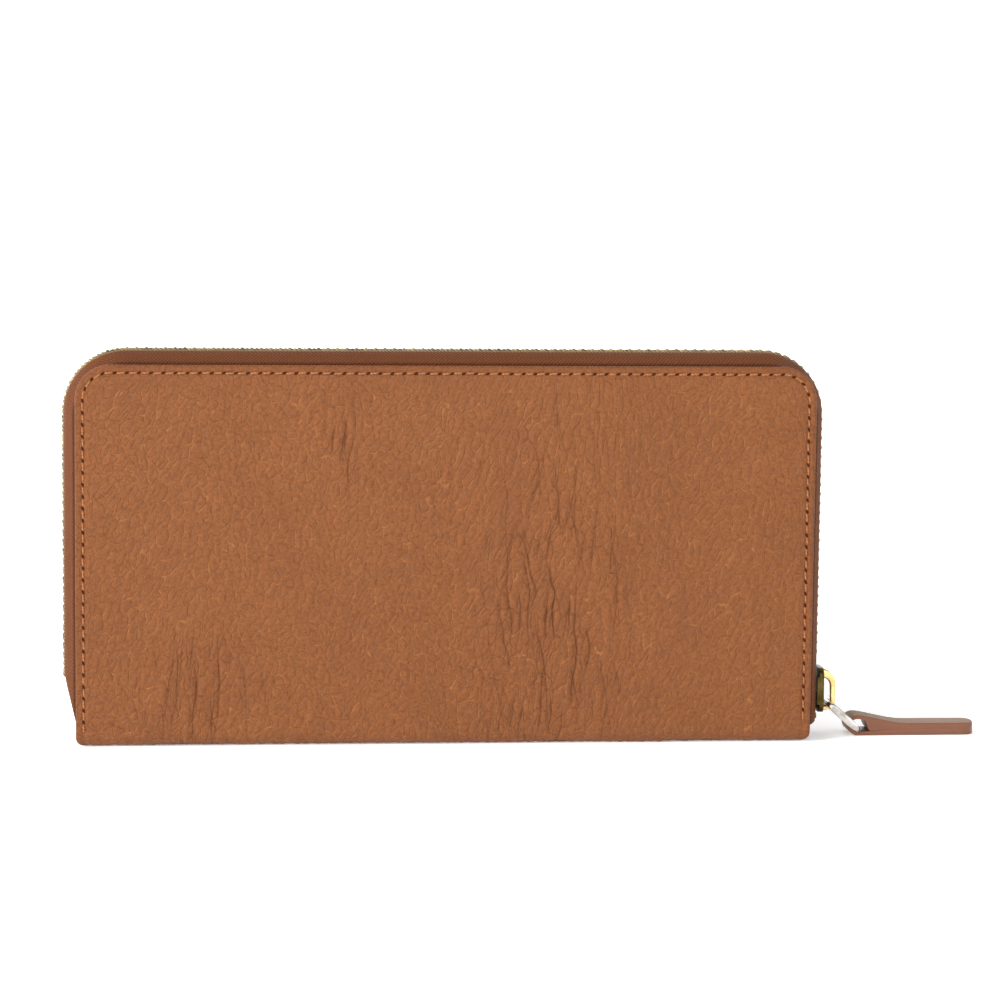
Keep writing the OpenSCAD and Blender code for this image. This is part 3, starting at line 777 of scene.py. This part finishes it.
def outline_of(name, radius):
    low, high = node_box(name)
    return (high[0], low[2], high[2], radius)


def half_inside(side, lining, pocket):
    """The lining and the four stepped card strips of one half."""
    body = f"{side}_half"
    for node, radius, relief, slot, material in (
            [(f"{side}_lining", ZIP_R - 0.5, crease_line(0.0, 1), "lining", lining)]
            + [(f"{side}_cards_{row}", 6.0 if row == 1 else 1.0, crease_line(0.14, 1.6),
                "pocket_leather", pocket) for row in (1, 2, 3, 4)]):
        near, far = depth_range(node)
        leaf(f"{node}_leaf", outline_of(node, radius), near, far, in_half(side), relief,
             LEAF_STEP, 0.15, body=body, slot=slot, material=material, nodes=(node,))


def coin_pocket(pocket, lining, tape, metal):
    """Walls, zip tapes and teeth of the coin pocket that stands on the spine."""
    for side in SIDES:
        for node, slot, material, relief in (
                (f"coin_wall_{side}", "pocket_leather", pocket, crease_line(0.12, 1.4)),
                (f"coin_tape_{side}", "zip_tape", tape, crease_line(0.0, 1))):
            near, far = depth_range(node)
            leaf(f"{node}_leaf", outline_of(node, 0.5), far, near, in_half(side), relief,
                    LEAF_STEP, 0.12, body="root", slot=slot, material=material, nodes=(node,))
        coin_teeth(side, metal)
    low, high = node_box("spine_lining")
    leaf("spine_lining_leaf", (high[0], low[1], high[1], 0.5), high[2], low[2],
         lambda x, z, w: np.stack([x, z, w], -1), None, 2.0, 0.12, body="root", slot="lining",
         material=lining, nodes=("spine_lining",))


def coin_teeth(side, metal):
    node = f"coin_teeth_{side}"
    low, high = node_box(node)
    pitch, thick = 2.0, 1.0
    count = round((high[0] - low[0] - thick) / pitch) + 1
    half_h, half_w = (high[2] - low[2]) / 2, (high[1] - low[1]) / 2
    centre = (low + high) / 2
    ring = rounded_rectangle(half_h, half_w, 0.4, 3)
    steps = ((-0.5, 0.72), (-0.4, 0.93), (-0.2, 1), (0.2, 1), (0.4, 0.93), (0.5, 0.72))
    part = np.array([(x * thick, b * scale, a * scale) for x, scale in steps for a, b in ring])
    places = low[0] + thick / 2 + np.arange(count) * pitch
    points = part[None] + centre * [0, 1, 1] + places[:, None, None] * [1, 0, 0]
    faces = copies(part, loft_faces(len(steps), len(ring)), count)
    new_piece(f"{node}_row", points.reshape(-1, 3), faces, "root", "zip_metal", metal, (node,), 50)


def gusset(side, hand, material):
    """A V of cloth between a cover's cards and the end of the coin pocket."""
    node = f"gusset_{side}_{hand}"
    low, high = node_box(node)
    near, far = depth_range(node)
    thick, sign = 0.4, 1 if hand == "right" else -1
    foot, top = low[2], high[2]
    near, far = near + thick / 2, far - thick / 2
    outer_x = max(abs(low[0]), abs(high[0])) - thick / 2
    inner_x = outer_x - 5.0
    fold_x = np.array([inner_x - 1.8, inner_x - 10.8])
    heights, columns = np.linspace(foot, top, 46), 25
    rows, flat = [], []
    for z in heights:
        x_fold = np.interp(z, [foot, top], fold_x)
        share = np.linspace(0, 1, columns)
        x = np.where(share < 0.5, outer_x + (x_fold - outer_x) * 2 * share,
                x_fold + (inner_x - x_fold) * (2 * share - 1))
        w = np.interp(share, [0, 0.5, 1], [far, (near + far) / 2, near])
        w = w + 0.35 * np.sin(share * 2 * math.pi) * (z - foot) / (top - foot)
        line = np.stack([x, w], -1)
        for _ in range(2):
            line[1:-1] = (line[:-2] + line[1:-1] + line[2:]) / 3
        rows.append(line)
    sheets = np.array(rows)
    step = unit(np.gradient(sheets, axis=1))
    normal = np.stack([step[..., 1], -step[..., 0]], -1)
    sections = np.concatenate([sheets + normal * thick / 2, (sheets - normal * thick / 2)[:, ::-1]], 1)
    z = np.broadcast_to(heights[:, None], sections.shape[:2])
    points = np.stack([sign * sections[..., 0], SIDES[side] * sections[..., 1], z], -1)
    count = sections.shape[1]
    travel = np.linspace(0, 20, columns)
    across = np.broadcast_to(np.concatenate([travel, travel[::-1]])[None], z.shape)
    piece = new_piece(f"{node}_cloth", points.reshape(-1, 3), loft_faces(len(heights), count),
            None, "lining", material, (node,), 60,
            {"flat": np.stack([across, z], -1).reshape(-1, 2)})
    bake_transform(piece)


# ---- materials


def linear(colour):
    """A linear colour from three sRGB values of 0 to 255. Anything else stays as it is."""
    if not isinstance(colour, tuple):
        return colour
    shares = np.array(colour) / 255
    low, high = shares / 12.92, ((shares + 0.055) / 1.055) ** 2.4
    return (*np.where(shares <= 0.04045, low, high), 1.0)


class Shader:
    """A material and its nodes. Constants are set straight on the surface's sockets."""

    def __init__(self, name, specular=0.5, **sockets):
        self.material = bpy.data.materials.new(name)
        self.material.use_nodes = True
        self.tree = self.material.node_tree
        self.surface = self.tree.nodes["Principled BSDF"]
        self.surface.inputs["Specular IOR Level"].default_value = specular
        for key, value in sockets.items():
            self.surface.inputs[key.replace("_", " ")].default_value = value

    def node(self, kind, inputs, **settings):
        made = self.tree.nodes.new("ShaderNode" + kind)
        for key, value in settings.items():
            setattr(made, key, value)
        for key, value in inputs.items():
            if isinstance(value, bpy.types.NodeSocket):
                self.tree.links.new(value, made.inputs[key])
            else:
                made.inputs[key].default_value = value
        return made

    def layer(self, name):
        return self.node("UVMap", {}, uv_map=name).outputs[0]

    def float(self, name):
        return self.node("Attribute", {}, attribute_name=name).outputs["Fac"]

    def noise(self, coords, scale, detail=2.0):
        inputs = {"Vector": coords, "Scale": scale, "Detail": detail}
        return self.node("TexNoise", inputs).outputs[0]

    def cells(self, coords, scale, randomness=1.0):
        inputs = {"Vector": coords, "Scale": scale, "Randomness": randomness}
        return self.node("TexVoronoi", inputs, voronoi_dimensions="2D",
                feature="DISTANCE_TO_EDGE").outputs[0]

    def ramp(self, value, low, high, start=0.0, end=1.0):
        inputs = {"Value": value, "From Min": low, "From Max": high, "To Min": start, "To Max": end}
        return self.node("MapRange", inputs, interpolation_type="SMOOTHSTEP").outputs[0]

    def math(self, operation, first, second=0.0, third=0.0):
        return self.node("Math", {0: first, 1: second, 2: third}, operation=operation).outputs[0]

    def times(self, first, second):
        return self.math("MULTIPLY", first, second)

    def plus(self, first, factor, added):
        """first times factor, plus added."""
        return self.math("MULTIPLY_ADD", first, factor, added)

    def object_place(self):
        return self.node("TexCoord", {}).outputs["Object"]

    def mix(self, share, first, second):
        inputs = {0: share, 6: linear(first), 7: linear(second)}
        return self.node("Mix", inputs, data_type="RGBA").outputs[2]

    def split(self, coords):
        return self.node("SeparateXYZ", {0: coords}).outputs

    def finished(self, colour, roughness=None, height=None, distance=0.0, strength=1.0):
        """The material, with colour, roughness and relief wired to its surface."""
        wires = {"Base Color": colour, "Roughness": roughness}
        if height is not None:
            inputs = {"Height": height, "Distance": distance * MM, "Strength": strength}
            wires["Normal"] = self.node("Bump", inputs).outputs[0]
        for key, socket in wires.items():
            if socket is not None:
                self.tree.links.new(socket, self.surface.inputs[key])
        return self.material


def cover_leather():
    """Pebbled cognac leather, with painted highlights on the lines between the cells and painted shade in
    the creases, in the cell lines where it is creased and in the hollows of the crumple.
    """
    s = Shader("cover_leather", 0.28, Sheen_Weight=0.02, Sheen_Roughness=0.5)
    grain_at, flat, inside = s.layer("grain"), s.layer("flat"), s.float("inside")
    edge = s.cells(grain_at, 1.0, CELL_RANDOMNESS)
    wobble = s.noise(flat, 1.3, 3)
    line = s.ramp(s.plus(wobble, 0.16, s.math("SUBTRACT", edge, 0.07)), 0, 0.10, 1, 0)
    fine = s.noise(flat, 3.2, 4)
    pores = s.ramp(s.cells(flat, 1.9), 0.0, 0.2, 1, 0)
    ragged = s.plus(fine, 0.5, -0.25)
    # Painted shade along the crease lines: fold is how dark each place is painted.
    fold = None
    for column, (spacing, _) in enumerate(CREASES):
        whole = s.split(s.layer("creases"))[column]
        away = s.plus(s.math("PINGPONG", whole, 0.5), spacing, ragged)
        dark = s.times(s.ramp(away, 0.0, 0.26, 1, 0), s.float(f"crease_{column}"))
        fold = s.math("MAXIMUM", fold, dark) if fold else dark
    creased = s.math("MAXIMUM", s.float("crease_0"), s.float("crease_1"))
    patches = s.ramp(s.noise(flat, 0.045, 3), 0.3, 0.7)
    crumple = s.noise(flat, 1.15, 5)
    blotches = s.ramp(s.noise(flat, 0.35, 3), 0.35, 0.7)
    base = s.mix(patches, (115, 64, 25), (125, 71, 29))
    base = s.mix(s.times(blotches, 0.45), base, (135, 77, 31))
    base = s.mix(s.ramp(fine, 0.35, 0.75, 0, 0.4), base, (145, 86, 38))
    # Painted shade in the hollows of the crumple, which also makes the relief.
    base = s.mix(s.ramp(crumple, 0.36, 0.6, 0.62, 0), base, (103, 58, 27))
    base = s.mix(s.times(pores, 0.16), base, (87, 42, 12))
    calm = s.ramp(inside, 2.5, 8, 0.25, 1)
    # Painted highlights on the lines between the cells, fewer where the hide is creased.
    light = s.times(s.times(line, calm), s.ramp(s.noise(flat, 0.45, 3), 0.36, 0.64, 0.08, 0.5))
    light = s.times(light, s.ramp(creased, 0.1, 0.6, 1, 0))
    base = s.mix(light, base, (167, 111, 60))
    # Painted shade in the cell lines where the hide is creased.
    dull = s.times(line, s.ramp(creased, 0.1, 0.8, 0, 0.22))
    base = s.mix(dull, base, (92, 47, 13))
    # Painted shade laid along the crease lines.
    base = s.mix(s.times(fold, 0.6), base, (65, 28, 6))
    base = s.mix(s.ramp(inside, 0.2, 1.3, 0.4, 0), base, (99, 50, 16))
    height = s.plus(line, -0.6, s.times(pores, -0.2))
    height = s.plus(fold, -0.9, height)
    height = s.plus(crumple, 1.1, height)
    height = s.plus(fine, 0.35, height)
    rough = s.plus(fine, 0.22, s.ramp(line, 0, 1, 0.38, 0.5))
    return s.finished(base, rough, height, 0.3)


def strap_leather():
    """Rough greyish grain on the flat faces, smooth reddish paint on the cut edges, and a painted
    highlight along the line between them.
    """
    s = Shader("strap_leather", 0.35)
    flat, side = s.layer("flat"), s.float("side_face")
    rough = s.noise(flat, 1.1, 4)
    face = s.mix(s.ramp(rough, 0.35, 0.65), (79, 58, 46), (110, 84, 69))
    face = s.mix(s.ramp(s.noise(flat, 4.0, 2), 0.55, 0.75, 0, 0.4), face, (55, 37, 27))
    # Painted highlight: a light line where the flat faces meet the painted edges.
    corner = s.times(s.ramp(side, 0.02, 0.25), s.ramp(side, 0.45, 0.95, 1, 0))
    colour = s.mix(s.ramp(side, 0.5, 0.95), face, (110, 68, 47))
    colour = s.mix(s.times(corner, 0.6), colour, (154, 125, 103))
    height = s.times(rough, s.ramp(side, 0.3, 0.9, 1, 0.12))
    return s.finished(colour, s.ramp(side, 0.3, 0.9, 0.68, 0.42), height, 0.25, 0.9)


def pocket_leather():
    """Fine-grained leather of the card strips and the coin pocket."""
    s = Shader("pocket_leather", 0.35)
    flat = s.layer("flat")
    edge = s.ramp(s.cells(flat, 1.05), 0, 0.16, 1, 0)
    fine = s.noise(flat, 3.0, 4)
    base = s.mix(s.ramp(s.noise(flat, 0.06, 3), 0.3, 0.7), (101, 54, 23), (114, 64, 27))
    base = s.mix(s.ramp(fine, 0.4, 0.7, 0, 0.3), base, (131, 77, 36))
    base = s.mix(s.times(edge, 0.4), base, (79, 37, 14))
    return s.finished(base, s.ramp(fine, 0.3, 0.7, 0.45, 0.6), s.plus(edge, -0.6, fine), 0.08, 0.8)


def lining_cloth():
    """A plain weave of two threads."""
    s = Shader("lining_cloth", 0.2, Sheen_Weight=0.15, Sheen_Roughness=0.4)
    flat, light = s.layer("flat"), (130, 88, 53)
    warp, weft = [s.math("SINE", s.times(way, 2 * math.pi / 0.6)) for way in s.split(flat)[:2]]
    weave = s.times(warp, weft)
    slub = s.noise(flat, 0.8, 3)
    colour = s.mix(s.ramp(weave, -1, 1), (94, 58, 33), light)
    colour = s.mix(s.ramp(slub, 0.4, 0.75, 0, 0.3), colour, light)
    return s.finished(colour, s.ramp(slub, 0.3, 0.7, 0.7, 0.85), s.plus(slub, 0.5, weave), 0.06, 0.8)


def herringbone_tape():
    """Zip tape woven in a herringbone, with painted shade beside the leather's edge."""
    s = Shader("herringbone_tape", 0.1, Sheen_Weight=0.02, Sheen_Roughness=0.4)
    flat = s.layer("flat")
    along, across, _ = s.split(flat)
    zigzag = s.math("PINGPONG", across, 0.85)
    phase = s.times(s.math("ADD", along, zigzag), 2 * math.pi / 0.95)
    rib = s.math("SINE", phase)
    fuzz = s.noise(flat, 2.5, 3)
    colour = s.mix(s.ramp(rib, -0.8, 0.9), (66, 28, 8), (118, 64, 27))
    colour = s.mix(s.ramp(fuzz, 0.4, 0.75, 0, 0.35), colour, (141, 83, 40))
    # Painted shade where the tape comes out from under the leather.
    colour = s.mix(s.ramp(across, FLANGE_W, FLANGE_W + 1.8, 0.65, 0), colour, (47, 18, 5))
    return s.finished(colour, s.ramp(fuzz, 0.3, 0.7, 0.65, 0.85), s.plus(fuzz, 0.4, rib), 0.14, 0.9)


def twisted_cord(name, dark, light, pitch):
    """Twisted yarn, lit on its strands."""
    s = Shader(name, 0.3, Sheen_Weight=0.2)
    at = s.object_place()
    x, y, z = s.split(at)
    slant = s.math("ADD", s.math("ADD", x, z), s.times(y, 1.4))
    strand = s.math("SINE", s.times(slant, 2 * math.pi / (pitch * MM)))
    fuzz = s.noise(at, 2500, 2)
    return s.finished(s.mix(s.ramp(strand, -0.9, 0.6), dark, light),
            s.ramp(fuzz, 0.3, 0.7, 0.55, 0.75), s.plus(fuzz, 0.4, strand), 0.05, 0.7)


def metal(name, dull, bright, low, high):
    """Plated metal with fine scratches and slight tarnish."""
    s = Shader(name, Metallic=1.0)
    at = s.object_place()
    stain = s.noise(at, 260, 3)
    scratch = s.noise(s.node("Mapping", {"Vector": at, "Scale": (900, 900, 9000)}).outputs[0], 1, 2)
    return s.finished(s.mix(s.ramp(stain, 0.35, 0.65), dull, bright),
            s.plus(scratch, 0.12, s.ramp(stain, 0.3, 0.7, high, low)), scratch, 0.01, 0.3)


def fibre_board():
    s = Shader("fibre_board", 0.2)
    at = s.object_place()
    fibre = s.noise(s.node("Mapping", {"Vector": at, "Scale": (300, 300, 1200)}).outputs[0], 1, 4)
    colour = s.mix(s.ramp(fibre, 0.3, 0.7), (150, 128, 98), (186, 164, 130))
    return s.finished(colour, s.ramp(fibre, 0.3, 0.7, 0.75, 0.95), fibre, 0.05, 0.5)


def hole_shadow():
    # Painted shade: the dark colour of the discs in the needle holes, mottled a little.
    s = Shader("painted_hole_shade", 0.1)
    shade_mottle = s.noise(s.object_place(), 3000, 2)
    colour = s.mix(shade_mottle, (44, 16, 5), (74, 32, 12))
    return s.finished(colour, s.ramp(shade_mottle, 0.3, 0.7, 0.8, 0.95))


def keep_node(name, material, bevel):
    """A CAD node whose shape is right: it gets a material and softly rounded edges."""
    piece = frame["nodes"][name]
    piece.data.materials.clear()
    piece.data.materials.append(material)
    piece.modifiers.new("join", "WELD").merge_threshold = 1e-6
    rounding = piece.modifiers.new("round", "BEVEL")
    rounding.width = bevel * MM
    rounding.segments = 3
    rounding.limit_method = "ANGLE"
    rounding.angle_limit = math.radians(40)
    rounding.harden_normals = True


# ---- stage


def paper(name, painted_glow):
    # The paper glows white with painted light, besides what the lamps give it.
    s = Shader(name, 0.1, Roughness=0.9, Emission_Strength=painted_glow)
    s.surface.inputs["Emission Color"].default_value = (1, 1, 1, 1)
    fleck = s.noise(s.object_place(), 3, 2)
    return s.finished(s.mix(fleck, [0.93, 0.93, 0.93, 1], [0.96, 0.96, 0.96, 1]))


def floor_and_backdrop():
    """A round pale floor that curves up into a wall all the way round; the floor glows faintly with
    painted light, the wall more.
    """
    wall_r, bend_r, near_r, around = 2600.0, 600.0, 950.0, 96
    turn = np.linspace(0, math.pi / 2, 16)
    profile = [(1.0, 0.0), (near_r, 0.0)]
    profile += [(wall_r - bend_r + bend_r * math.sin(a), bend_r * (1 - math.cos(a)))
                for a in turn] + [(wall_r, 1500.0)]
    points = np.array([(r * math.cos(a), r * math.sin(a), z - 0.05)
            for r, z in profile for a in circle(around)])
    faces = loft_faces(len(profile), around)[:-1]
    mesh = bpy.data.meshes.new("floor")
    mesh.from_pydata((points * MM).tolist(), [], faces)
    # Painted light: the floor glows a little to lift the shadows on it, the wall more so that it shows
    # white.
    mesh.materials.append(paper("paper", 0.3))
    mesh.materials.append(paper("glowing_paper", 0.7))
    lit = np.arange(len(faces)) >= around
    lit[-1] = False
    mesh.polygons.foreach_set("material_index", lit.astype(np.int32))
    mesh.shade_smooth()
    linked("floor", mesh)


def stand(thing, right, up, back, place):
    """Places a light or a camera by its three axes."""
    axes = [[right[i], up[i], back[i], place[i]] for i in range(3)]
    thing.matrix_world = Matrix(axes + [[0, 0, 0, 1]])


LAMP_AIM_Z = 0.05


def area_light(name, place, size, power):
    """A white lamp, in metres and watts, turned to a point halfway up the wallet."""
    light = bpy.data.lights.new(name, "AREA")
    light.shape = "RECTANGLE"
    light.size, light.size_y = size
    light.energy = power
    away = unit(np.array(place) - [0, 0, LAMP_AIM_Z])
    right = unit(np.cross([0, 0, 1], away))
    stand(linked(name, light), right, np.cross(away, right), away, place)


def light_the_stage():
    world = bpy.data.worlds.new("studio")
    world.use_nodes = True
    sky = world.node_tree.nodes["Background"].inputs
    sky["Color"].default_value = (1, 1, 1, 1)
    sky["Strength"].default_value = 0.22
    bpy.context.scene.world = world
    area_light("key", (-1.4, -0.9, 1.0), (0.7, 0.7), 42)
    area_light("fill", (1.3, -1.2, 0.9), (1.2, 1.2), 2)
    area_light("top", (0.1, 0.5, 1.8), (1.4, 1.0), 7)


def camera_at_the_photo_angle():
    """A long lens from slightly left of the middle and a little above."""
    yaw, pitch, roll = math.radians(5.653), math.radians(6.697), math.radians(0.619)
    ahead = np.array([math.sin(yaw) * math.cos(pitch), math.cos(yaw) * math.cos(pitch), -math.sin(pitch)])
    right = np.array([math.cos(yaw), -math.sin(yaw), 0])
    up = np.cross(right, ahead)
    x = math.cos(roll) * right + math.sin(roll) * up
    y = -math.sin(roll) * right + math.cos(roll) * up
    place = (-0.0697, -0.8488, 0.1622)
    lens = bpy.data.cameras.new("camera")
    lens.lens = 118.8
    lens.sensor_width = 36
    lens.clip_end = 20
    camera = linked("camera", lens)
    stand(camera, x, y, -ahead, place)
    bpy.context.scene.camera = camera


# ---- the wallet

camera_at_the_photo_angle()
light_the_stage()
floor_and_backdrop()
bpy.context.scene.view_settings.view_transform = "Standard"

cover = cover_leather()
pocket = pocket_leather()
lining = lining_cloth()
tape = herringbone_tape()
cord_yarn = twisted_cord("cord_yarn", (76, 50, 27), (129, 100, 64), 0.9)
thread = twisted_cord("thread", (133, 74, 36), (174, 114, 65), 0.8)
hole = hole_shadow()
brass = metal("aged_brass", (96, 84, 48), (172, 150, 92), 0.28, 0.42)
# Painted shade: a darker copy of the gold plating, for the slider's body, which lies in shade.
plate = metal("shaded_gold", (62, 50, 26), (96, 80, 44), 0.22, 0.36)
gold = metal("gold_plate", (226, 188, 118), (246, 216, 150), 0.14, 0.26)
silver = metal("nickel_plate", (150, 144, 138), (204, 198, 192), 0.12, 0.24)
board = fibre_board()

for side, seed, offset in (("front", 11, 0.25), ("rear", 47, 0.75)):
    cover_skin(side, seed, cover)
    cover_stitches(side, thread, hole)
    zip_tape(side, tape)
    zip_cord(side, cord_yarn)
    zip_teeth(side, offset, brass)
    half_inside(side, lining, pocket)
    for hand in ("left", "right"):
        gusset(side, hand, lining)
    keep_node(f"{side}_board", board, 0.1)
spine_skin(cover)
coin_pocket(pocket, lining, tape, brass)
keep_node("spine_board", board, 0.1)
keep_node("coin_binding", pocket, 0.15)
slider_arch(gold)
pull_link(silver)
pull_strap(strap_leather())
keep_node("slider_body", plate, 0.3)
keep_node("coin_slider_body", gold, 0.15)
keep_node("coin_tab", gold, 0.15)
